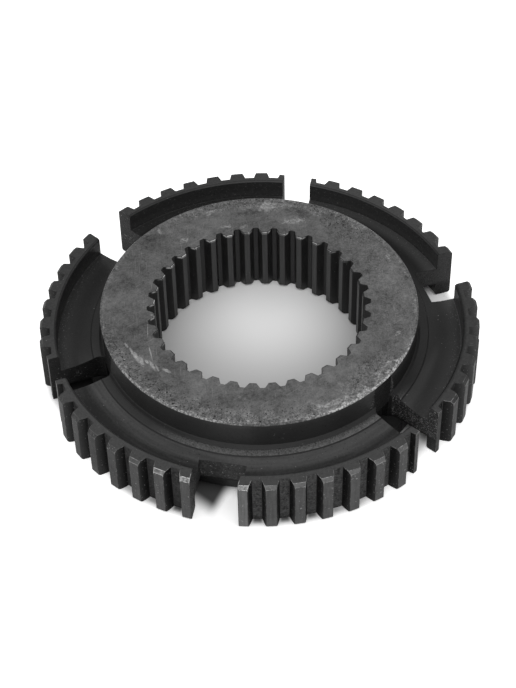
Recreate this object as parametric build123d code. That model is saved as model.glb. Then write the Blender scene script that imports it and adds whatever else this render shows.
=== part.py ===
# Synchronizer hub of a heavy gearbox, one machined forging.
# Lengths in millimetres. Z is the axis of the hub, z = 0 is the underside of the toothed rim,
# and the X axis runs out through the middle of one of the three wide slots.

from math import acos, cos, pi, radians, sin, tan
from build123d import *
import os

os.makedirs("parts", exist_ok=True)

# Outer spline, which the shift sleeve slides on
outer_teeth = 51
outer_module = 3.0
outer_pressure_angle = 20.0
outer_pitch_radius = outer_module * outer_teeth / 2
outer_addendum = 1.6
outer_dedendum = 2.1
outer_tip_radius = outer_pitch_radius + outer_addendum
outer_root_radius = outer_pitch_radius - outer_dedendum
tip_chamfer_top = 1.1
tip_chamfer_bottom = 0.6

# Inner spline, which holds the hub on its shaft
inner_teeth = 36
inner_pitch = 25.4 / 12
inner_pressure_angle = 30.0
inner_minor_radius = inner_pitch * (inner_teeth - 1) / 2
inner_major_radius = inner_pitch * (inner_teeth + 1.35) / 2
inner_space_angle = 3.1
bore_chamfer_top = 0.4
bore_chamfer_bottom = 0.9

# Rim that carries the outer spline
rim_height = 20.8
rim_wall = 2.2
rim_bore_radius = outer_root_radius - rim_wall
rim_bore_chamfer = 0.6
web_fillet = 2.2

# Web between the rim and the boss
web_thickness = 7.8
web_top_below_rim = 7.2
web_dish = 0.5

# Boss round the bore
boss_radius = 56.2
boss_above_rim = 6.3
boss_edge_chamfer = 0.5
lower_boss_step = 5.3
lower_boss_radius = boss_radius + lower_boss_step

# Turned shoulder at the foot of the boss
shoulder_start_below_rim = 3.8
shoulder_step = 3.9
shoulder_radius = boss_radius + shoulder_step
shoulder_below_rim = 5.1
shoulder_neck_width = 1.1
shoulder_neck_drop = 1.0
groove_width = 0.3
groove_depth = 0.3
groove_outer_drop = 0.2

# Slots, three wide ones for the synchronizer lugs and three narrow ones for the struts
slots_of_each_kind = 3
wide_slot_width = 16.1
wide_slot_end_wall = 6.9
wide_slot_inner_end = boss_radius + wide_slot_end_wall
narrow_slot_width = 10.4
narrow_slot_corner_radius = 3.0
narrow_slot_run_in = 0.4
pocket_radius = 3.6
pocket_centre_step = 0.6
cut_tooth_lowering = 2.0
cut_tooth_reach = outer_tip_radius - cut_tooth_lowering
cut_tooth_half_width = 7.3

# Heights and turns that follow from the sizes above
full_turn = 360.0
slot_spacing = full_turn / slots_of_each_kind
narrow_slot_turn = slot_spacing / 2
web_top = rim_height - web_top_below_rim
web_bottom = web_top - web_thickness
boss_top = rim_height + boss_above_rim
cut_margin = 5.0
cut_reach = outer_tip_radius + cut_margin
cut_height = boss_top + 2 * cut_margin
boss_core_depth = 6.0
boss_core_radius = boss_radius - boss_core_depth
core_overlap = 2.0
near = 0.01


def involute(angle):
    return tan(angle) - angle


def at(radius, angle):
    return (radius * cos(angle), radius * sin(angle))


def half_width_angle(radius, teeth, pitch_radius, pressure_angle):
    # Half the angle between the two involute flanks at a radius, half a pitch apart on the pitch circle
    slope = radians(pressure_angle)
    base_radius = pitch_radius * cos(slope)
    return pi / (2 * teeth) + involute(slope) - involute(acos(base_radius / radius))


def spline_outline(teeth, pitch_radius, pressure_angle, root_radius, tip_radius, first_angle):
    # A closed ring of teeth that point outward, each flank an arc through three points of its involute
    radii = (root_radius, (root_radius + tip_radius) / 2, tip_radius)
    spread = [half_width_angle(r, teeth, pitch_radius, pressure_angle) for r in radii]
    pitch = 2 * pi / teeth
    with BuildLine() as outline:
        for tooth in range(teeth):
            middle = radians(first_angle) + tooth * pitch
            rising = [at(r, middle - half) for r, half in zip(radii, spread)]
            falling = [at(r, middle + half) for r, half in zip(radii, spread)]
            next_root = at(root_radius, middle + pitch - spread[0])
            ThreePointArc(*rising)
            ThreePointArc(rising[-1], at(tip_radius, middle), falling[-1])
            ThreePointArc(*reversed(falling))
            ThreePointArc(falling[0], at(root_radius, middle + pitch / 2), next_root)
    return make_face(outline.line)


# The flange: rim, dished web and shoulder, as a half section turned about the Z axis
shoulder_top_z = rim_height - shoulder_start_below_rim
shoulder_neck_radius = boss_radius + shoulder_neck_width
shoulder_neck_z = shoulder_top_z - shoulder_neck_drop
shoulder_z = rim_height - shoulder_below_rim
groove_floor_radius = shoulder_radius + groove_width / 3
groove_outer_radius = shoulder_radius + groove_width
groove_outer_z = shoulder_z - groove_outer_drop
dish_radius = (groove_outer_radius + rim_bore_radius) / 2
dish_z = (groove_outer_z + web_top) / 2 - web_dish
rim_chamfer_radius = rim_bore_radius + rim_bore_chamfer
flange_inner_radius = boss_core_radius - core_overlap
web_top_corner = (rim_bore_radius, web_top)
groove_outer_corner = (groove_outer_radius, groove_outer_z)

with BuildPart() as flange:
    with BuildSketch(Plane.XZ) as flange_section:
        with BuildLine():
            Polyline(
                groove_outer_corner,
                (groove_floor_radius, shoulder_z - groove_depth),
                (shoulder_radius, shoulder_z),
                (shoulder_neck_radius, shoulder_neck_z),
                (boss_radius, shoulder_top_z),
                (flange_inner_radius, shoulder_top_z),
                (flange_inner_radius, web_bottom),
                (rim_bore_radius, web_bottom),
                (rim_bore_radius, rim_bore_chamfer),
                (rim_chamfer_radius, 0),
                (outer_tip_radius - tip_chamfer_bottom, 0),
                (outer_tip_radius, tip_chamfer_bottom),
                (outer_tip_radius, rim_height - tip_chamfer_top),
                (outer_tip_radius - tip_chamfer_top, rim_height),
                (rim_chamfer_radius, rim_height),
                (rim_bore_radius, rim_height - rim_bore_chamfer),
                web_top_corner,
            )
            ThreePointArc(web_top_corner, (dish_radius, dish_z), groove_outer_corner)
        make_face()
        web_corners = flange_section.vertices().filter_by(
            lambda v: abs(v.X - rim_bore_radius) < near and web_bottom - near < v.Z < web_top + near
        )
        fillet(web_corners, web_fillet)
    revolve(axis=Axis.Z)

# The outer teeth, cut over the whole height of the rim
outer_face = spline_outline(
    outer_teeth, outer_pitch_radius, outer_pressure_angle, outer_root_radius, outer_tip_radius, 0
)
hub = flange.part & (Pos(0, 0, -cut_margin) * extrude(outer_face, cut_height))

# Wide slots, straight through the web and the rim, with a flat inner end
wide_slot_length = cut_reach - wide_slot_inner_end
wide_slot = Pos(wide_slot_inner_end + wide_slot_length / 2, 0, boss_top / 2) * Box(
    wide_slot_length, wide_slot_width, cut_height
)

# Narrow slots, with rounded inner corners and a round pocket that runs in past the boss wall
narrow_slot_inner_end = boss_radius - narrow_slot_run_in
with BuildPart() as narrow_slot:
    with BuildSketch(Plane.XY.offset(-cut_margin)) as slot_plan:
        with Locations(((narrow_slot_inner_end + cut_reach) / 2, 0)):
            Rectangle(cut_reach - narrow_slot_inner_end, narrow_slot_width)
        fillet(slot_plan.vertices().group_by(Axis.X)[0], narrow_slot_corner_radius)
        with Locations((boss_radius + pocket_centre_step, 0)):
            Circle(pocket_radius)
    extrude(amount=cut_height)

# The teeth that a narrow slot cuts in two are lower than the others, with flat tips
tooth_cut_length = cut_reach - cut_tooth_reach
tooth_cut = Pos(cut_tooth_reach + tooth_cut_length / 2, 0, boss_top / 2) * Box(
    tooth_cut_length, 2 * cut_tooth_half_width, cut_height
)

for turn in range(slots_of_each_kind):
    wide_turn = turn * slot_spacing
    narrow_turn = wide_turn + narrow_slot_turn
    hub -= Rot(0, 0, wide_turn) * wide_slot
    hub -= Rot(0, 0, narrow_turn) * tooth_cut
    hub -= Rot(0, 0, narrow_turn) * narrow_slot.part

# The boss stands in the slotted flange: its wall closes the narrow slots above the web,
# leaves the round pockets open within the web, and its wider lower end is a ledge under them
with BuildPart() as boss:
    with BuildSketch(Plane.XZ):
        with BuildLine():
            Polyline(
                (inner_minor_radius, bore_chamfer_bottom),
                (inner_minor_radius + bore_chamfer_bottom, 0),
                (lower_boss_radius - boss_edge_chamfer, 0),
                (lower_boss_radius, boss_edge_chamfer),
                (lower_boss_radius, web_bottom),
                (boss_core_radius, web_bottom),
                (boss_core_radius, web_top),
                (boss_radius, web_top),
                (boss_radius, boss_top - boss_edge_chamfer),
                (boss_radius - boss_edge_chamfer, boss_top),
                (inner_minor_radius + bore_chamfer_top, boss_top),
                (inner_minor_radius, boss_top - bore_chamfer_top),
                close=True,
            )
        make_face()
    revolve(axis=Axis.Z)

# The bore spline: its spaces are the teeth of a shaft that fills the bore
inner_face = spline_outline(
    inner_teeth,
    inner_pitch * inner_teeth / 2,
    inner_pressure_angle,
    inner_minor_radius,
    inner_major_radius,
    inner_space_angle,
)
splined_boss = boss.part - Pos(0, 0, -cut_margin) * extrude(inner_face, cut_height)
hub = hub + splined_boss

box = hub.bounding_box()
print("solids", len(hub.solids()), "valid", hub.is_valid)
print("size", box.size, "lowest", box.min.Z, "volume", hub.volume)
print("faces", len(hub.faces()), "edges", len(hub.edges()))
export_step(hub, "parts/synchronizer_hub.step")
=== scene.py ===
# %% [markdown]
# # Synchronizer hub of a heavy gearbox
# The part is one steel forging, turned, broached and hobbed, then blackened in a hot bath. Years of
# service and of storage wore the black off the boss face and off the corners of the teeth.
# Its solid comes from the CAD frame, and this script gives it broken edges, a finish, a floor,
# light and a camera.

from math import cos, hypot, radians, sin

import bpy
from mathutils import Matrix, Vector


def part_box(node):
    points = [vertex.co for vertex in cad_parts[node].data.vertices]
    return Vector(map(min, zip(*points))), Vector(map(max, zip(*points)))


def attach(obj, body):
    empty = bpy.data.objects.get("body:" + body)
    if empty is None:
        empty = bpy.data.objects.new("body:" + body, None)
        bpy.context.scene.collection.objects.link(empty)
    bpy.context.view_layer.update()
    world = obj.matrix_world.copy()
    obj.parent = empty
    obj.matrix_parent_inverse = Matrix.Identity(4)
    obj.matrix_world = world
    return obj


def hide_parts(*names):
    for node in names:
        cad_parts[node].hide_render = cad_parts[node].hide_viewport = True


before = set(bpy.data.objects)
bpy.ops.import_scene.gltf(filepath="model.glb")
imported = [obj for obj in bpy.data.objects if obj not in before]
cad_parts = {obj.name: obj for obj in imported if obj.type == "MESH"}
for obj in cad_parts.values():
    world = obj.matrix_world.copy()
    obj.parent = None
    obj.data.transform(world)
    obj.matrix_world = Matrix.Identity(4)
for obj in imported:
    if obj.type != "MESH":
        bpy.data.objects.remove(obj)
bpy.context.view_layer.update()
hub_low, hub_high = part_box("synchronizer_hub")
MM = 0.001
print("hub box in mm", [round((high - low) / MM, 2) for low, high in zip(hub_low, hub_high)])

# %% [markdown]
# ## Sizes the finish follows
# Wear and stains follow the turned forms of the hub, so the finish needs their radii and heights,
# in millimetres in the hub's own frame: the axis is Z, the rim stands on z = 0, and the X axis runs
# out through the middle of a wide slot. Directions are in degrees from the X axis, and the
# photograph was taken from about 252 degrees.

# %% Radii, heights and slots in millimetres
boss_radius = 56.2
boss_top = hub_high[2] / MM
boss_chamfer = 0.5
bore_tip_radius = 37.0
bore_root_radius = 39.6
rim_top = 20.8
rim_bore_radius = 72.2
tooth_root_radius = 74.4
tooth_tip_radius = 78.1
tooth_positions = 51
web_top = 13.6
web_bottom = 5.8
neck_radius = 57.3
shoulder_top = 17.0
shoulder_radius = 60.1
narrow_slot_axes = (60, 180, 300)
narrow_slot_half = 5.2
wide_slot_axes = (0, 120, 240)
wide_slot_half = 8.05
wide_slot_end = 63.1
print("boss stands", round(boss_top - rim_top, 2), "mm above the rim")

# %% Places that more than one finish shares
# The heights between which the upper side of the flange begins
above_web = (web_top - 1.5, web_top - 1.0)

# The lighter front of the flange: its direction, where the lightening starts, and where it is full
lighter_front = (241, 18.0, 41.0)

# The direction of the painted light: the finishes are painted brighter on the sides that face it
painted_light_side = 262

# Teeth with bright rubbed tops: where they are, how bright their chamfers and their edges are, and
# how wide the bright part of the edges is
bright_teeth = (
    ((-53.7, -55.1), 0.5, 0.5, 5.0),
    ((-46.7, -61.2), 1.0, 0.6, 5.4),
    ((-29.4, -70.9), 0.5, 0.6, 5.4),
)
print("teeth with bright tops", len(bright_teeth))

# %% [markdown]
# ## The hub
# A machined edge is never sharp: tumbling and handling break it, and the broken edge is what
# catches the light. The CAD mesh is copied, its doubles are merged, flat faces are joined up, and a
# small bevel goes on each edge that turns sharply. The bevel's faces get a finish of their own,
# because that is where the black wears through first. The copy then stands for the CAD node.

# %% Copy the solid and join its flat faces
merge_gap = 0.05 * MM
flat_turn = radians(0.2)


def only(piece):
    """Makes a piece the only selected one."""
    bpy.ops.object.select_all(action="DESELECT")
    piece.select_set(True)
    bpy.context.view_layer.objects.active = piece


only(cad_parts["synchronizer_hub"])
bpy.ops.object.duplicate()
hub = bpy.context.active_object
hub.name = "hub_steel"
only(hub)
bpy.ops.object.mode_set(mode="EDIT")
bpy.ops.mesh.select_all(action="SELECT")
bpy.ops.mesh.remove_doubles(threshold=merge_gap)
bpy.ops.mesh.dissolve_limited(angle_limit=flat_turn)
bpy.ops.object.mode_set(mode="OBJECT")
print("faces merged", len(hub.data.polygons))

# %% [markdown]
# ## Which finish goes where
# Each machined surface of the real hub has its own look, so each face of the mesh is given a
# finish by its place: the two boss faces are bare and stained, the bore and the outer spline are
# worn black, the slot walls are rough, and the rest is smooth black.

# %% Give each face its finish
finish_names = (
    "black",
    "boss_face",
    "bore_spline",
    "outer_spline",
    "tooth_flank",
    "slot_wall",
    "worn_edge",
)
near = 0.05
underside_height = 1.0
pocket_run_in = 2.0
flat_slope = 0.9
upright_slope = 0.1
tip_slope = 0.6


def in_slot(spot, axes, half_width, first_radius):
    """Whether a spot lies in one of the slots with these axes, walls included."""
    for axis in axes:
        turn = radians(axis)
        along = spot.x * cos(turn) + spot.y * sin(turn)
        across = spot.y * cos(turn) - spot.x * sin(turn)
        if along > first_radius and abs(across) < half_width + near:
            return True
    return False


def finish_of(face):
    spot = face.center / MM
    radius = hypot(spot.x, spot.y)
    flat = abs(face.normal.z) > flat_slope
    upright = abs(face.normal.z) < upright_slope
    if flat and spot.z > boss_top - near:
        return "boss_face"
    if spot.z > boss_top - boss_chamfer and radius > boss_radius - boss_chamfer:
        return "worn_edge"
    if flat and spot.z < underside_height and radius < shoulder_radius:
        return "boss_face"
    if radius < bore_root_radius:
        return "bore_spline"
    if upright and in_slot(spot, narrow_slot_axes, narrow_slot_half, boss_radius - pocket_run_in):
        return "slot_wall"
    if upright and in_slot(spot, wide_slot_axes, wide_slot_half, wide_slot_end - near):
        return "slot_wall"
    if radius > tooth_root_radius - near and not flat:
        outward = (face.normal.x * spot.x + face.normal.y * spot.y) / radius
        return "outer_spline" if outward > tip_slope else "tooth_flank"
    return "black"


hub.data.materials.clear()
for name in finish_names:
    hub.data.materials.append(bpy.data.materials.new(name))
counts = dict.fromkeys(finish_names, 0)
for face in hub.data.polygons:
    name = finish_of(face)
    face.material_index = finish_names.index(name)
    counts[name] += 1
print("faces by finish", counts)

# %% Break the edges
edge_break = 0.12 * MM
edge_steps = 2
sharp_turn = radians(28)

only(hub)
bpy.ops.object.modifier_add(type="BEVEL")
bevel = hub.modifiers[-1]
bevel.limit_method = "ANGLE"
bevel.angle_limit = sharp_turn
bevel.width = edge_break
bevel.segments = edge_steps
bevel.use_clamp_overlap = False
bevel.material = finish_names.index("worn_edge")
bpy.ops.object.modifier_apply(modifier=bevel.name)
bpy.ops.object.shade_smooth_by_angle(angle=sharp_turn)
bpy.ops.object.modifier_add(type="WEIGHTED_NORMAL")
weighted = hub.modifiers[-1]
weighted.keep_sharp = True
bpy.ops.object.modifier_apply(modifier=weighted.name)
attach(hub, "root")
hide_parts("synchronizer_hub")
hub.data.calc_loop_triangles()
print("triangles with broken edges", len(hub.data.loop_triangles))

# %% [markdown]
# ## How the finishes are written
# A finish is made of masks: numbers from 0 to 1 that say how much of something is at a point, such
# as a stain or a scratch. The class below holds one such number or colour, so that masks can be
# added and multiplied like plain numbers, and one method adds every other kind of node.


# %% A socket that can be added and multiplied
class Socket:
    """An output of a node. Sums and products of sockets add Math nodes to the same material."""

    def __init__(self, tree, output=None):
        self.tree = tree
        self.output = output

    def add(self, kind, settings=None, values=None, output=0):
        """Adds a node: its kind, its settings, then the values or links of its sockets."""
        node = self.tree.nodes.new("ShaderNode" + kind)
        for name, setting in (settings or {}).items():
            setattr(node, name, setting)
        for name, value in (values or {}).items():
            if isinstance(value, Socket):
                value.into(node.inputs[name])
            else:
                node.inputs[name].default_value = value
        return Socket(self.tree, node.outputs[output])

    def into(self, node_input):
        """Links this output to an input of another node."""
        self.tree.links.new(self.output, node_input)

    def math(self, operation, first, second=0.0):
        return self.add("Math", {"operation": operation}, {0: first, 1: second})

    def __add__(self, other):
        return self.math("ADD", self, other)

    def __radd__(self, other):
        return self.math("ADD", other, self)

    def __sub__(self, other):
        return self.math("SUBTRACT", self, other)

    def __rsub__(self, other):
        return self.math("SUBTRACT", other, self)

    def __mul__(self, other):
        return self.math("MULTIPLY", self, other)

    def __rmul__(self, other):
        return self.math("MULTIPLY", other, self)

    def __neg__(self):
        return 0.0 - self

    def unsigned(self):
        """The number without its sign."""
        return self.math("ABSOLUTE", self)

    def between(self, low, high):
        """0 at low, 1 at high, with soft ends. It falls instead when low is the larger."""
        limits = {"Value": self, "From Min": min(low, high), "From Max": max(low, high)}
        limits["To Min"] = 0.0 if low < high else 1.0
        limits["To Max"] = 1.0 if low < high else 0.0
        return self.add("MapRange", {"interpolation_type": "SMOOTHSTEP"}, limits)

    def grey(self):
        """A neutral colour of this shade."""
        return self.add("CombineColor", values={"Red": self, "Green": self, "Blue": self})

    def vector(self, operation, second):
        """Vector maths that starts from this vector."""
        return self.add("VectorMath", {"operation": operation}, {0: self, 1: second})

    def turned_back(self, turn):
        """This vector turned about Z, back by an angle in degrees."""
        values = {"Vector": self, "Angle": -radians(turn)}
        return self.add("VectorRotate", {"rotation_type": "Z_AXIS"}, values)

    def noise(self, scale=1.0, detail=2.0, roughness=0.5):
        """Soft noise round 0.5, read at this vector."""
        values = {"Vector": self, "Scale": scale, "Detail": detail, "Roughness": roughness}
        return self.add("TexNoise", values=values)


def largest(first, *others):
    """The largest of several masks at each point."""
    for other in others:
        first = first.math("MAXIMUM", first, other)
    return first


def smallest(first, other):
    """The smaller of two masks at each point."""
    return first.math("MINIMUM", first, other)


def blend(mask, low, high):
    """low where the mask is 0, high where it is 1."""
    return low + mask * (high - low)


# %% [markdown]
# The point of the surface is taken in the hub's own frame, in millimetres. From it come the
# radius, the height, clouds of any grain, single placed marks and lines of scratches.

# %% Where a point is, and the patterns on it
mark_outside = 1.25
mark_inside = 0.55
scratch_softness = 0.06
rings_per_mm = 0.8
ring_drift = 0.05
drawn_along = 0.12


class Place:
    """A point of the hub in millimetres, with the patterns that the finishes share."""

    def __init__(self, tree):
        metres = Socket(tree).add("TexCoord", output="Object")
        values = {0: metres, "Scale": 1 / MM}
        self.point = metres.add("VectorMath", {"operation": "SCALE"}, values)
        self.x = self.point.add("SeparateXYZ", values={0: self.point}, output="X")
        self.y = self.point.add("SeparateXYZ", values={0: self.point}, output="Y")
        self.z = self.point.add("SeparateXYZ", values={0: self.point}, output="Z")
        self.radius = self.far_from(0.0, 0.0)

    def far_from(self, x, y):
        """The level distance from an upright line."""
        from_x = self.x - x
        from_y = self.y - y
        square = from_x * from_x + from_y * from_y
        return square.math("SQRT", square)

    def towards(self, axis):
        """How far the point lies from the hub's axis in a level direction, given in degrees."""
        return self.x * cos(radians(axis)) + self.y * sin(radians(axis))

    def side(self, axis, start, full):
        """One side of the hub: 0 up to a distance towards a direction, 1 beyond a farther one."""
        return self.towards(axis).between(start, full)

    def cloud(self, grain, detail=3.0, roughness=0.55, seed=0.0):
        """Soft noise round 0.5, with patches about as large as the grain, in millimetres."""
        moved = self.point.vector("ADD", (seed, 2 * seed, -seed))
        return moved.noise(1 / grain, detail, roughness)

    def mark(self, centre, length, width, turn=0, ragged=0.35, grain=1.5):
        """A placed patch on a level face: its centre, length and width, and its length's turn."""
        turned = self.point.vector("SUBTRACT", (*centre, 0)).turned_back(turn)
        scaled = turned.vector("MULTIPLY", (2 / length, 2 / width, 0))
        distance = scaled.add("VectorMath", {"operation": "LENGTH"}, {0: scaled}, "Value")
        rough = distance + (self.cloud(grain, seed=centre[0]) - 0.5) * (4 * ragged)
        return rough.between(mark_outside, mark_inside)

    def marks(self, table, ragged, grain):
        """Several placed patches, one row each of centre, length, width and turn."""
        return largest(*(self.mark(*row, ragged=ragged, grain=grain) for row in table))

    def scratches(self, turn, spacing, length, share, seed):
        """Fine straight scratches that all run about one way."""
        drawn = self.point.turned_back(turn).vector("MULTIPLY", (1 / length, 1 / spacing, 0))
        lines = drawn.vector("ADD", (seed, -seed, seed)).noise(detail=1.0)
        return lines.between(share, share + scratch_softness)

    def turned_rings(self):
        """Noise in rings round the hub's axis, as a lathe leaves them."""
        values = {"X": self.radius * rings_per_mm, "Y": self.x * ring_drift}
        values["Z"] = self.y * ring_drift
        return self.point.add("CombineXYZ", values=values).noise(detail=3.0)

    def drawn_lines(self, across):
        """Noise in lines along the hub's axis, as a broach or a hob leaves them."""
        return self.point.vector("MULTIPLY", (across, across, drawn_along)).noise()


# %% How a finish starts and ends
def start_finish(name):
    """Readies a material for its masks."""
    material = bpy.data.materials[name]
    material.use_nodes = True
    return Place(material.node_tree)


def dress(name, shade, roughness, height=None, bump=0.0, metallic=0.0, specular=0.5):
    """Joins the masks of a finish to the shader of its material."""
    tree = bpy.data.materials[name].node_tree
    shader = tree.nodes["Principled BSDF"]
    shade.grey().into(shader.inputs["Base Color"])
    roughness.into(shader.inputs["Roughness"])
    shader.inputs["Metallic"].default_value = metallic
    shader.inputs["Specular IOR Level"].default_value = specular
    if height is not None:
        values = {"Height": height, "Strength": bump, "Distance": MM}
        height.add("Bump", values=values, output="Normal").into(shader.inputs["Normal"])
    print(name, "nodes", len(tree.nodes))


# %% [markdown]
# ## Smooth black
# The web, the rim, the shoulder and the wall of the boss keep their bath black. It is an oxide a
# thousandth of a millimetre thick with oil in it, so it shines a little and shows the turned steel
# below. It is lighter on the front of the web, and speckled there. Light and shade are painted
# into it too: the shoulder is painted bright where it faces the front, the web darker towards the
# rim at the front and lighter by the rim elsewhere, and the boss wall and the rim's inner wall
# lighter or darker from side to side. A painted shade blackens the boss wall at two slot pockets.

# %% Zones of the black surfaces
place = start_finish("black")
front = place.side(*lighter_front)
# Where the shoulder and the neck are painted bright, on the side that faces the front
painted_light_on_shoulder = place.side(painted_light_side, 36.0, 52.0)
upper_side = place.z.between(*above_web)
below_rim = upper_side * place.z.between(rim_top - 0.4, rim_top - 1.0)

on_web = below_rim * place.radius.between(shoulder_radius + 0.1, shoulder_radius + 0.5)
on_web = on_web * place.radius.between(rim_bore_radius - 0.2, rim_bore_radius - 0.8)
on_shoulder = upper_side * place.radius.between(shoulder_radius + 0.1, shoulder_radius - 0.2)
on_shoulder = on_shoulder * place.radius.between(neck_radius - 0.1, neck_radius + 0.5)
on_neck = upper_side * place.radius.between(neck_radius + 0.5, neck_radius - 0.1)
on_neck = on_neck * place.radius.between(boss_radius + 0.1, boss_radius + 0.4)
on_wall = place.z.between(shoulder_top - 0.6, shoulder_top)
on_wall = on_wall * place.radius.between(boss_radius + 0.3, boss_radius + 0.1)
on_rim_wall = below_rim * place.radius.between(rim_bore_radius - 0.8, rim_bore_radius - 0.2)
on_rim = place.z.between(rim_top - 0.8, rim_top - 0.1)
on_rim = on_rim * place.radius.between(rim_bore_radius - 1.2, rim_bore_radius - 0.2)
print("the web lies", round(rim_top - web_top, 2), "mm below the rim")

# %% Shades of the black surfaces
cloud = place.cloud(9.0, detail=4.0)
fine = place.cloud(0.9, detail=4.0, roughness=0.7, seed=3.0)
grain = place.cloud(0.5, detail=2.0, seed=37.0)
turned = place.turned_rings()

# Painted shade and light on the web: at the front it is painted darker towards the rim, as if in
# the rim's shade, and on the sides and at the back it is painted lighter by the rim, most of all at
# the back right
web_clear_of_rim_shade = place.radius.between(66.8, 63.0)
painted_light_by_rim = place.radius.between(65.0, 70.5) * (1 + 2.0 * place.side(25, 48.0, 66.0))
web_by_slot = place.side(312, 58.0, 61.5) * place.radius.between(65.0, 62.5)
front_web = 0.010 + 0.037 * web_clear_of_rim_shade + 0.05 * (turned - 0.5) - 0.010 * place.side(220, 56.0, 62.0)
side_web = 0.004 + 0.014 * painted_light_by_rim + 0.012 * web_by_slot
web_shade = blend(front, side_web, front_web) + 0.03 * (fine - 0.5) * (0.3 + front)

# Painted light on the shoulder and the neck: bright where they face the front, dark on the sides,
# with a painted highlight along the turn of the shoulder towards the front
shoulder_peak = 0.050 + 0.030 * place.radius.between(57.4, 58.6)
shoulder_peak = shoulder_peak + 0.20 * (grain - 0.5) + 0.10 * (fine - 0.5)
shoulder_left = 0.003 + 0.018 * place.side(215, 36.0, 52.0)
shoulder_highlight = place.radius.between(58.4, 59.2) * place.side(285, 54.0, 58.0)
shoulder_shade = blend(painted_light_on_shoulder, shoulder_left, shoulder_peak) + 0.020 * shoulder_highlight
shoulder_shade = shoulder_shade + 0.006 * place.side(215, 52.0, 57.0)
neck_shade = 0.003 + 0.014 * painted_light_on_shoulder

# Painted light on the boss wall: lighter towards its top and on the left, darker low down on the
# right
wall_shade = 0.024 + 0.008 * place.z.between(24.5, 26.5) + 0.007 * place.side(188, 46.0, 55.0)
wall_right = place.side(325, 46.0, 55.0) * (0.014 * place.z.between(22.5, 25.5) - 0.010)
wall_shade = wall_shade + wall_right + 0.02 * (turned - 0.5)

# Painted light on the rim's inner wall, which lies in the boss's shade: lighter at the back right,
# the right and towards its foot
rim_wall_shade = 0.013 + 0.014 * place.side(60, 0.0, 55.0) + 0.008 * place.side(30, 40.0, 70.0)
rim_wall_shade = rim_wall_shade + 0.030 * place.side(340, 60.0, 70.0)
rim_wall_shade = rim_wall_shade + 0.010 * place.z.between(17.0, 15.0) + 0.03 * (fine - 0.5)
right_lip = place.side(330, 50.0, 68.0) * place.radius.between(73.8, 73.0)
rim_shade = 0.021 + 0.016 * front - 0.013 * right_lip + 0.05 * (fine - 0.5)
rim_shade = rim_shade + 0.011 * place.side(45, 62.0, 71.0)
other_shade = 0.013 + 0.03 * (cloud - 0.5)

zones = (
    (on_web, web_shade),
    (on_shoulder, shoulder_shade),
    (on_neck, neck_shade),
    (on_wall, wall_shade),
    (on_rim_wall, rim_wall_shade),
    (on_rim, rim_shade),
)
covered = 0.0
shade = 0.0
for zone, zone_shade in zones:
    covered = covered + zone
    shade = shade + zone * zone_shade
shade = shade + (1 - smallest(covered, 1.0)) * other_shade
print("zones of the black", len(zones))

# %% Torn ends, pits, chips, dust and painted pocket shade, and the black finish
chips = place.cloud(0.6, detail=1.0, seed=11.0).between(0.72, 0.76)
chips = chips * place.cloud(9.0, seed=15.0).between(0.5, 0.62) * upper_side
pits = place.cloud(0.7, detail=2.0, seed=33.0).between(0.36, 0.28) * (0.4 + 0.6 * front)
dust = place.cloud(0.55, detail=1.0, seed=45.0).between(0.66, 0.71)
dust = dust * (on_web * place.radius.between(67.5, 70.5) + 0.7 * on_rim_wall)

torn_right = place.mark((32.6, -49.0), 7.5, 5.0, 100, ragged=0.5, grain=1.2)
torn_left = place.mark((-57.8, 2.0), 6.0, 4.5, 90, ragged=0.5, grain=1.2)
torn_ends = largest(torn_right * place.radius.between(56.4, 56.8), torn_left) * upper_side

# Painted shade: the boss wall is painted black at the mouths of the round pockets at the inner ends
# of the right and the left narrow slot
painted_pocket_shade = smallest(place.far_from(28.9, -50.0), place.far_from(-57.6, -1.0))
painted_pocket_shade = (painted_pocket_shade + 1.2 * (fine - 0.5)).between(4.3, 3.5) * place.radius.between(57.8, 57.0)
painted_pocket_shade = painted_pocket_shade * place.z.between(15.6, 14.6) * upper_side
outside_pocket_shade = 1 - painted_pocket_shade

shade = largest(shade, 0.002) * (1 - 0.6 * pits) * (1 - 0.9 * torn_ends)
shade = shade + 0.13 * chips + 0.16 * torn_ends * grain.between(0.58, 0.66)
shade = largest(shade * outside_pocket_shade + 0.09 * dust, 0.002 * outside_pocket_shade)
black_roughness = 0.42 + 0.3 * (cloud - 0.5) + 0.2 * (fine - 0.5) + 0.12 * front
dress("black", shade, black_roughness, height=fine, bump=0.10, specular=0.3)

# %% [markdown]
# ## Boss face
# The ground face of the boss ran against a gear, so its black is gone and the bare steel has
# stained to a cloudy grey. It carries paler blotches, dark stains at the back and the left, small
# black pits towards the front left, a row of bright streaks at the left, fine hairs, and a bright
# rubbed outer edge at the front. Towards the front the face and that edge are also painted a
# little brighter, as painted light.

# %% The coarse and the smooth parts of the boss face
place = start_finish("boss_face")
broad = place.cloud(15.0, detail=2.0, seed=1.0)
cloud = place.cloud(4.0, detail=4.0, roughness=0.6, seed=5.0)
fine = place.cloud(1.3, detail=3.0, roughness=0.7, seed=9.0)
grit = place.cloud(0.5, detail=2.0, seed=29.0)

edge_band = (place.radius + 16 * (cloud - 0.5)).between(boss_radius - 8.0, boss_radius - 1.5)
front_left = edge_band * place.side(228, 22.0, 42.0)
front_edge = edge_band * place.side(painted_light_side, 34.0, 50.0)
front_right = place.mark((24, -46), 34, 14, 30, grain=3.0)
back = edge_band * place.side(62, 28.0, 48.0)
right = place.x.between(22.0, 46.0)
coarse = largest(
    0.16 + 0.84 * back, 0.4 * right, front_left, 0.8 * front_right, 0.6 * front_edge
)

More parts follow.
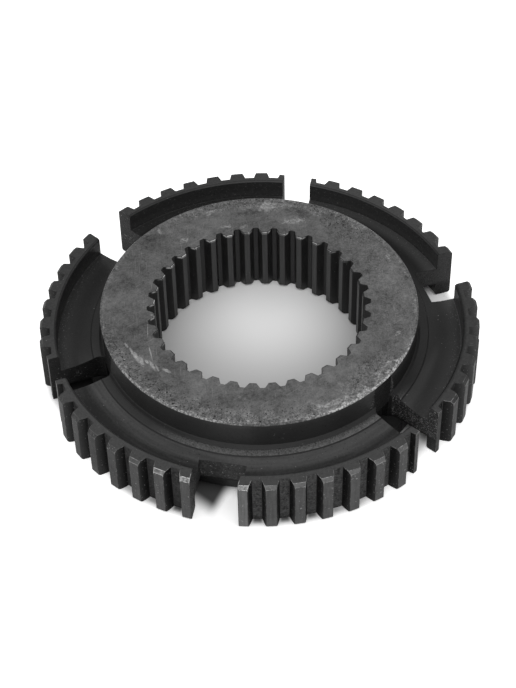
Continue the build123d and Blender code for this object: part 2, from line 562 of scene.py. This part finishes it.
shade = 0.127 + 0.16 * (broad - 0.5) + (0.16 + 0.08 * coarse) * (cloud - 0.5)
shade = shade + (0.09 + 0.20 * coarse) * (fine - 0.5) + (0.07 + 0.22 * coarse) * (grit - 0.5)
clusters = place.cloud(6.0, detail=3.0, seed=71.0)
frost = place.cloud(0.6, detail=2.0, seed=73.0).between(0.60, 0.70)
frost = frost * clusters.between(0.48, 0.64) * coarse
freckles = place.cloud(0.8, detail=2.0, seed=77.0).between(0.42, 0.32)
freckles = freckles * clusters.between(0.52, 0.40) * coarse
ground_shade = (shade + 0.20 * frost) * (1 - 0.7 * freckles)
print("the boss face is", round(boss_radius - bore_root_radius, 1), "mm wide")

# %% Pale and dark marks on the boss face
pale_marks = (
    ((19.3, 47.7), 7.0, 5.0, 20),
    ((-1.3, 51.6), 4.6, 2.4, 10),
    ((1.4, 42.0), 5.4, 2.0, 174),
    ((26.0, 36.5), 9.0, 3.0, 165),
    ((7.7, 40.2), 4.0, 1.4, 20),
    ((-22.0, 47.7), 3.6, 1.8, 101),
    ((-14.8, 40.4), 3.4, 2.2, 30),
    ((-36.5, 7.1), 3.8, 2.8, 119),
    ((27.2, -45.8), 6.0, 2.0, 70),
    ((14.0, -52.4), 6.0, 2.4, 40),
    ((20.5, -50.2), 5.0, 2.0, 60),
    ((33.4, -41.2), 6.0, 1.6, 27),
    ((41.0, -29.3), 4.0, 1.6, 33),
    ((9.6, -52.1), 9.0, 2.6, 5),
    ((45.7, 26.7), 5.0, 1.2, 100),
    ((51.9, 7.9), 4.4, 1.2, 77),
)
streak_marks = (
    ((-49.6, -3.4), 2.6, 0.9, 97),
    ((-48.7, -6.7), 3.96, 0.92, 91),
    ((-47.9, -9.8), 5.61, 1.61, 96),
    ((-46.8, -12.2), 5.17, 1.495, 89),
    ((-45.1, -13.0), 2.09, 1.035, 107),
    ((-43.8, -15.6), 5.17, 1.15, 97),
    ((-42.6, -17.1), 3.85, 0.69, 94),
    ((-39.8, -19.5), 3.74, 1.38, 127),
    ((-42.7, -9.5), 6.71, 0.46, 84),
    ((-40.7, 0.8), 6.38, 0.2875, 75),
)
# Dark stains: centre, length, width, turn, raggedness, grain and depth
dark_marks = (
    ((28.0, 41.5), 12, 4.5, 145, 0.3, 3.0, 1.0),
    ((12.3, 46.7), 10, 4.0, 170, 0.4, 2.5, 1.0),
    ((-45.5, -22.5), 10, 6.0, 115, 0.4, 2.5, 0.7),
    ((-15.7, -41.0), 24, 5.0, -14, 0.35, 3.0, 0.6),
)
pale = place.cloud(2.2, seed=21.0).between(0.58, 0.72) * back
pale = largest(pale, place.marks(pale_marks, ragged=0.8, grain=1.8))
blotch = place.mark((19.8, 47.5), 6.5, 5.0, 20, ragged=0.7, grain=1.4)
streaks = place.marks(streak_marks, ragged=0.3, grain=0.9)
streak_ground = place.mark((-44.5, -14.5), 16.0, 5.0, 125, ragged=0.6, grain=2.0)
dark = 0.65 * place.cloud(7.0, detail=3.0, seed=61.0).between(0.56, 0.68) * coarse
for *shape, depth in dark_marks:
    dark = largest(dark, depth * place.mark(*shape))
stain = place.cloud(1.6, detail=3.0, seed=51.0).between(0.3, 0.62)
print("marks on the boss face", len(pale_marks) + len(streak_marks) + len(dark_marks))

# %% Wear of the boss face, and its finish
hairs = place.scratches(75, 0.5, 9.0, 0.66, 2.0) + place.scratches(20, 0.6, 12.0, 0.68, 8.0)
pit_band = (place.radius + 14 * (cloud - 0.5)).between(boss_radius - 12.0, boss_radius - 4.0)
pitted = largest(
    pit_band * place.side(225, 24.0, 44.0),
    place.mark((42, 26), 24, 9, 120),
    0.8 * back,
    0.25,
)
pits = place.cloud(0.75, detail=2.0, seed=31.0).between(0.41, 0.33) * pitted

bright_grain = place.cloud(1.3, detail=3.0, roughness=0.7, seed=41.0).between(0.42, 0.68)
worn = front_left * 0.1 + back * 0.15 + front_edge * edge_band * 0.5 + front_right * 0.4
rim_line = (place.radius + 4 * (fine - 0.5)).between(boss_radius - 2.2, boss_radius - 0.8)
rim_side = largest(
    0.6 * place.side(228, 46.0, 54.0),
    place.side(292, 46.0, 54.0),
    0.45 * place.side(45, 47.0, 54.0),
    0.2,
)
rubbed_rim = 0.08 + 0.92 * rim_side * place.cloud(7.0, seed=43.0).between(0.40, 0.58)

shade = ground_shade + 0.07 * blotch + 0.14 * pale * fine.between(0.36, 0.62)
shade = shade + (0.14 * worn + 0.45 * rim_line * rubbed_rim) * bright_grain
shade = shade + 0.26 * streaks * (0.5 + 0.6 * bright_grain) + 0.03 * streak_ground * fine
# Painted light: towards the front the face and its outer edge are painted brighter, on top of their
# wear
shade = shade + 0.045 * hairs + 0.010 * right + 0.020 * front_edge
shade = shade + 0.010 * place.side(painted_light_side, 10.0, 45.0)
shade = shade * (1 - 0.45 * dark * stain) * (1 - 0.9 * pits)
boss_roughness = 0.38 + 0.25 * (cloud - 0.5) + 0.15 * (fine - 0.5) - 0.08 * streaks
relief = fine * 0.5 + grit * 0.3 - pits
dress("boss_face", largest(shade, 0.012), boss_roughness, height=relief, bump=0.15, metallic=1.0)

# %% [markdown]
# ## Bore spline
# The broached teeth of the bore stay black and oily. Their lands, which the shaft rubs, are a
# little paler. The upper ends of some teeth at the back are rubbed bright, and painted brighter
# still as a painted highlight where they face the front.

# %% The bore finish
place = start_finish("bore_spline")
cloud = place.cloud(6.0, detail=3.0, seed=2.0)
lines = place.drawn_lines(3.0)
chips = place.cloud(0.5, detail=1.0, seed=17.0).between(0.75, 0.79)
land = place.radius.between(bore_tip_radius + 0.25, bore_tip_radius + 0.05)
left_side = place.x.between(0.0, -30.0)
# The upper ends of the teeth at the back: rubbed bright, and painted brighter still as a highlight
# where they face the front
upper_end = place.z.between(boss_top - 1.1, boss_top - 0.3) * place.radius.between(39.0, 38.2)
rubbed_and_highlit = 0.25 + 0.75 * place.cloud(5.0, detail=2.0, seed=13.0).between(0.42, 0.56)
rubbed_and_highlit = rubbed_and_highlit * upper_end * place.side(110, -12.0, 26.0)

shade = 0.007 + 0.012 * cloud + 0.022 * land * (0.3 + 1.4 * lines) * (1 - 0.5 * left_side)
shade = shade + 0.50 * rubbed_and_highlit + 0.12 * chips
dress("bore_spline", shade, 0.32 + 0.2 * cloud, height=lines, bump=0.05, specular=0.32)

# %% [markdown]
# ## Outer spline
# The hobbed outer teeth slid in the shift sleeve. Their tips and top chamfers are worn to a mid
# grey, and are painted brighter where they face the front. Their roots and flanks are darker, but
# painted lighter on the left and right sides, where they would lie in shade, and small bruises
# catch light.

# %% Tips and gaps of the outer spline
place = start_finish("outer_spline")
cloud = place.cloud(5.0, detail=4.0, seed=4.0)
fine = place.cloud(0.9, detail=3.0, roughness=0.7, seed=6.0)
lines = place.drawn_lines(1.6)
bruises = place.cloud(0.9, detail=2.0, seed=19.0).between(0.66, 0.72)
crown = place.radius.between(tooth_tip_radius - 1.3, tooth_tip_radius - 0.2)
chamfer = place.radius.between(tooth_tip_radius - 2.0, tooth_tip_radius - 1.5)
chamfer = chamfer * place.z.between(rim_top - 1.15, rim_top - 1.0)
tip = largest(crown, chamfer)
gap = 1 - tip
lower_end = place.z.between(7.0, 1.0)
facing_front_light = place.side(258, 46.0, 68.0)

# Painted light in the gaps: painted lighter on the left and right sides, where they would lie in
# shade; they are also lighter at the front left and the front
gap_side = place.x.unsigned().between(60.0, 72.0)
gap_left = (-place.y).between(20.0, 40.0) * place.side(240, 20.0, 50.0)
gap_front = place.side(268, 58.0, 70.0) * (0.018 + 0.010 * lower_end + 0.12 * (fine - 0.5))
gap_shade = 0.014 * gap_side + 0.018 * gap_left + gap_front
# Painted light: tips and chamfers are painted brighter where they face the front, and the tips
# darker on the right
tip_lines = 0.05 * (lines - 0.5) * (0.5 + 0.5 * facing_front_light)
tip_shade = 0.018 + 0.040 * facing_front_light - 0.010 * place.side(325, 50.0, 70.0) + tip_lines
tip_shade = tip_shade + 0.012 * lower_end
tip_shade = tip_shade + 0.050 * place.mark((-29.8, -72.0), 6.0, 6.0, ragged=0.1) * (0.5 + lines)
chamfer_shade = 0.020 + 0.030 * place.side(painted_light_side, 56.0, 70.0)
print("tooth positions", tooth_positions)

# %% The outer spline finish
bright_tops = largest(
    *(share * place.mark(centre, 6.0, 6.0, ragged=0.1) for centre, share, _, _ in bright_teeth)
)
shade = 0.010 + 0.05 * largest(cloud - 0.4, 0.0) + 0.09 * (fine - 0.5) * (1 - 0.5 * tip)
shade = shade + gap * gap_shade + tip * tip_shade + 0.14 * bruises * (0.3 + 0.7 * tip)
shade = shade + chamfer * chamfer_shade * (0.3 + 1.4 * fine)
shade = shade + 0.20 * chamfer * bright_tops * fine.between(0.36, 0.60)
roughness = 0.46 + 0.3 * (fine - 0.5)
dress("outer_spline", largest(shade, 0.004), roughness, height=fine, bump=0.1, specular=0.05)

# %% The tooth flank finish
place = start_finish("tooth_flank")
fine = place.cloud(0.9, detail=3.0, roughness=0.7, seed=36.0)
chips = place.cloud(0.7, detail=1.0, seed=39.0).between(0.68, 0.73)
crest = place.radius.between(tooth_tip_radius - 1.6, tooth_tip_radius - 0.4)
inner = place.radius.between(tooth_root_radius - 0.2, tooth_tip_radius - 1.2)
both_sides = place.x.unsigned().between(52.0, 70.0)
# Painted light on the flanks: lighter on the left and right sides and most of all on the right;
# they are also darker towards the root
shade = 0.002 + 0.02 * largest(fine - 0.4, 0.0) + 0.010 * crest + 0.10 * chips
shade = shade + 0.020 * both_sides * inner + 0.028 * place.x.between(44.0, 60.0)
roughness = 0.6 + 0.3 * (fine - 0.5)
dress("tooth_flank", shade, roughness, height=fine, bump=0.15, specular=0.1)

# %% [markdown]
# ## Slot walls
# The narrow slots were punched or milled and never finished, so their walls are rough and matt,
# with torn steel that shows as pale chips. The walls of the wide slots share this finish.

# %% The slot wall finish
place = start_finish("slot_wall")
cloud = place.cloud(2.6, detail=4.0, seed=8.0)
grit = place.cloud(0.8, detail=4.0, roughness=0.75, seed=12.0)
torn = cloud.between(0.34, 0.56)
above_ledge = place.z.between(web_bottom + 0.3, web_bottom + 1.2)
front = (-place.y).between(20.0, 46.0)
left_slot = place.x.between(-50.0, -52.0)
sand_side = place.side(300, 50.0, 56.0)
sand = place.cloud(0.5, detail=2.0, seed=25.0).between(0.53, 0.64) * sand_side
right_end = place.side(330, -5.0, 5.0) * place.side(240, 58.0, 62.0)
back_right = place.side(10, 40.0, 62.0) * place.z.between(4.0, 7.0)
# Painted shade: the walls round the pockets at the inner ends of the right and the left narrow slot
# are painted nearly black
pocket_shade_on_walls = smallest(place.far_from(28.4, -49.2), place.far_from(-56.8, 0.0)).between(4.9, 4.2)

chips = place.cloud(0.7, detail=1.0, seed=23.0).between(0.66, 0.72) * torn
chips = chips * (1 - 0.5 * left_slot) * (1 - 0.9 * place.side(20, 34.0, 48.0))
big_chip_x, big_chip_z = -66.0, 10.0
chip_along = place.x - big_chip_x
chip_up = place.z - big_chip_z
big_chip = (chip_along * chip_along + chip_up * chip_up).between(2.6, 0.8)
big_chip = big_chip * left_slot * grit.between(0.50, 0.62)

speckle = (0.08 + 0.10 * front) * (grit - 0.47) * (0.4 + 0.6 * torn)
speckle = speckle + 0.008 + 0.014 * front + 0.014 * right_end + 0.05 * (cloud - 0.5) * front
speckle = largest(speckle * (1 - 0.5 * sand_side) + 0.13 * sand, 0.0) * (1 - 0.6 * left_slot)
speckle = speckle + 0.20 * chips + 0.16 * big_chip
shade = 0.002 + above_ledge * speckle * (1 - 0.95 * pocket_shade_on_walls) + 0.016 * back_right
relief = grit * 0.7 + cloud * 0.3
dress("slot_wall", shade, 0.62 + 0.4 * (grit - 0.5), height=relief, bump=0.6, specular=0.22)

# %% [markdown]
# ## Worn edges
# On every broken edge the black is thin. It shows bare steel along the tops of the outer teeth,
# and along the outer edge of the boss at the front and the back right. The tooth edges are also
# painted brighter towards the front, as a painted highlight.

# %% The edge finish
place = start_finish("worn_edge")
cloud = place.cloud(3.0, detail=3.0, seed=14.0)
fine = place.cloud(0.7, detail=2.0, seed=18.0)
on_teeth = place.radius.between(tooth_root_radius - 0.2, tooth_root_radius + 0.8)
tooth_tops = on_teeth * place.z.between(rim_top - 2.2, rim_top - 1.5)
bright_tops = largest(
    *(
        share * place.mark(centre, width, width, ragged=0.1)
        for centre, _, share, width in bright_teeth
    )
)
bare = 0.15 + 0.5 * cloud.between(0.44, 0.58) + 0.5 * fine.between(0.46, 0.6)
# Painted highlight: the edges of the teeth are painted brighter towards the front
bare = bare * (0.2 + 0.8 * place.side(painted_light_side, 30.0, 62.0))
bare = tooth_tops * (bare + 3.2 * bright_tops * fine.between(0.35, 0.5))

boss_front = largest(0.75 * place.side(215, 42.0, 54.0), place.side(297, 44.0, 54.0), 0.25)
boss_side = largest(0.15 + 0.85 * boss_front, 0.6 * place.side(40, 42.0, 54.0))
boss_edge = place.z.between(boss_top - 1.0, boss_top - 0.6) * place.radius.between(54.0, 55.0)
boss_line = boss_edge * boss_side
bare = largest(bare, boss_line * (0.3 + 0.7 * fine.between(0.45, 0.62)))
bare = largest(bare, 0.25 * cloud.between(0.52, 0.62) * on_teeth)

front = place.side(*lighter_front) * place.z.between(*above_web)
shade = 0.010 + 0.014 * front + (0.22 + 0.26 * boss_line) * bare
dress("worn_edge", shade, 0.45 - 0.12 * bare, specular=0.2)

# %% [markdown]
# ## Floor, light and camera
# The hub lies on white card in a light tent that is brighter overhead, with one large soft light
# high in front. The photograph's ground was cleaned to plain white round the hub, and stayed grey
# only inside the bore and the slots. So the card shows a little extra white outside the hub, and
# has painted shades: grey in the bore, a dark triangle in the front slot, dark feet in the two
# narrow slots beside it, and small ones under the gaps of the front teeth.

# %% Card
card_drop = 0.2 * MM
card_size = 4
card_white = 0.97
extra_white = 0.6

bpy.ops.mesh.primitive_plane_add(size=card_size, location=(0, 0, -card_drop))
floor = bpy.context.active_object
floor.name = "white_card"
card = bpy.data.materials.new("card")
card.use_nodes = True
floor.data.materials.append(card)
place = Place(card.node_tree)
print("card side", card_size, "m")

# %% Shades on the card
# Shades in the left and the right narrow slot: the slot's axis, the radii where the shade is full
# and where it ends, the middle and half of its width, and its depth
slot_shades = ((180, 69.0, 75.5, -5.0, 10.0, 0.97), (300, 62.0, 73.0, 3.0, 8.0, 0.5))
open_slot_half = 10.5
soft_side = 1.5


def slot_point(axis):
    """How far out along a slot's axis the point is, and how far across it."""
    return place.towards(axis), place.towards(axis + 90)


def within(across, half):
    """1 in a strip on both sides of an axis, with soft sides."""
    return across.unsigned().between(half + soft_side, half)


along, across = slot_point(240)
right_edge = (across + 0.24 * (along - 60.0)).between(3.7, -1.0)
left_edge = (along - 0.57 * across).between(78.0, 69.5)
triangle = right_edge * left_edge * along.between(55, 57) * 0.955
front_slot = within(across, open_slot_half) * along.between(60.0, 66.0)

shadow = triangle
for axis, full, end, middle, half, depth in slot_shades:
    along, across = slot_point(axis)
    foot = within(across - middle, half) * along.between(54, 56) * along.between(end, full)
    shadow = largest(shadow, depth * foot)

pool = place.far_from(12.0, 26.0)
in_bore = place.radius.between(40, 38) * (0.04 + 0.44 * pool.between(6.0, 46.0))
turn = place.y.math("ARCTAN2", place.y, place.x)
wave = turn.math("COSINE", turn * tooth_positions)
gap_foot = wave.between(-0.1, -0.9) * place.radius.between(76.8, 74.6) * place.side(246, 65.0, 72.0)
gap_foot = gap_foot * place.towards(330).unsigned().between(9.0, 10.0)
lit = 1 - largest(shadow, in_bore, 0.85 * gap_foot)
print("painted shades in slots", 1 + len(slot_shades))

# %% Extra white round the hub
along, across = slot_point(120)
back_slot = within(across, open_slot_half) * along.between(58.0, 64.0)
outside = largest(
    place.radius.between(tooth_root_radius + 0.8, tooth_tip_radius + 1.0),
    0.55 * front_slot,
    back_slot,
    place.side(195, 71.0, 75.0),
    0.8 * place.side(300, 69.0, 74.0),
)
light_path = place.point.add("LightPath").output.node
seen = largest(
    *(
        Socket(card.node_tree, light_path.outputs[ray])
        for ray in ("Is Camera Ray", "Is Glossy Ray", "Is Transmission Ray")
    )
)
card_shader = card.node_tree.nodes["Principled BSDF"]
(card_white * lit).grey().into(card_shader.inputs["Base Color"])
(extra_white * outside * lit * seen).grey().into(card_shader.inputs["Emission Color"])
card_shader.inputs["Emission Strength"].default_value = 1.0
card_shader.inputs["Specular IOR Level"].default_value = 0.0
card_shader.inputs["Roughness"].default_value = 1.0
print("card nodes", len(card.node_tree.nodes))

# %% Tent and front light
tent_low = 0.52
tent_rise = 0.5
world = bpy.data.worlds.new("tent")
bpy.context.scene.world = world
world.use_nodes = True
background = world.node_tree.nodes["Background"]
direction = Socket(world.node_tree).add("TexCoord", output="Generated")
height = direction.add("SeparateXYZ", values={0: direction}, output="Z")
glow = tent_low + tent_rise * largest(height, 0.0)
glow.grey().into(background.inputs["Color"])
background.inputs["Strength"].default_value = 1.0

lamp_azimuth = radians(252)
lamp_elevation = radians(62)
lamp_distance = 1.2
lamp_size = 0.8
lamp_power = 3.4
level_reach = lamp_distance * cos(lamp_elevation)
lamp_height = lamp_distance * sin(lamp_elevation)
spot = Vector((level_reach * cos(lamp_azimuth), level_reach * sin(lamp_azimuth), lamp_height))
bpy.ops.object.light_add(type="AREA", location=spot)
lamp = bpy.context.active_object
lamp.name = "softbox_front"
lamp.data.shape = "SQUARE"
lamp.data.size = lamp_size
lamp.data.energy = lamp_power
lamp.rotation_euler = (-spot).to_track_quat("-Z", "Y").to_euler()
print("tent at the horizon", tent_low, "overhead", tent_low + tent_rise)

# %% Camera
view_from = Vector((-0.141494, -0.440704, 0.497497))
look_at = Vector((-0.0016, -0.0028, 0.0102))
camera_roll = radians(-1.379)
focal_length = 97.85
sensor_height = 36.0

camera_data = bpy.data.cameras.new("camera")
camera = bpy.data.objects.new("camera", camera_data)
bpy.context.scene.collection.objects.link(camera)
camera_data.sensor_fit = "VERTICAL"
camera_data.sensor_height = sensor_height
camera_data.lens = focal_length
turn = (look_at - view_from).to_track_quat("-Z", "Y").to_matrix().to_4x4()
camera.matrix_world = Matrix.Translation(view_from) @ turn @ Matrix.Rotation(camera_roll, 4, "Z")
bpy.context.scene.camera = camera
bpy.context.scene.view_settings.view_transform = "Standard"
print("camera", [round(v, 3) for v in view_from])
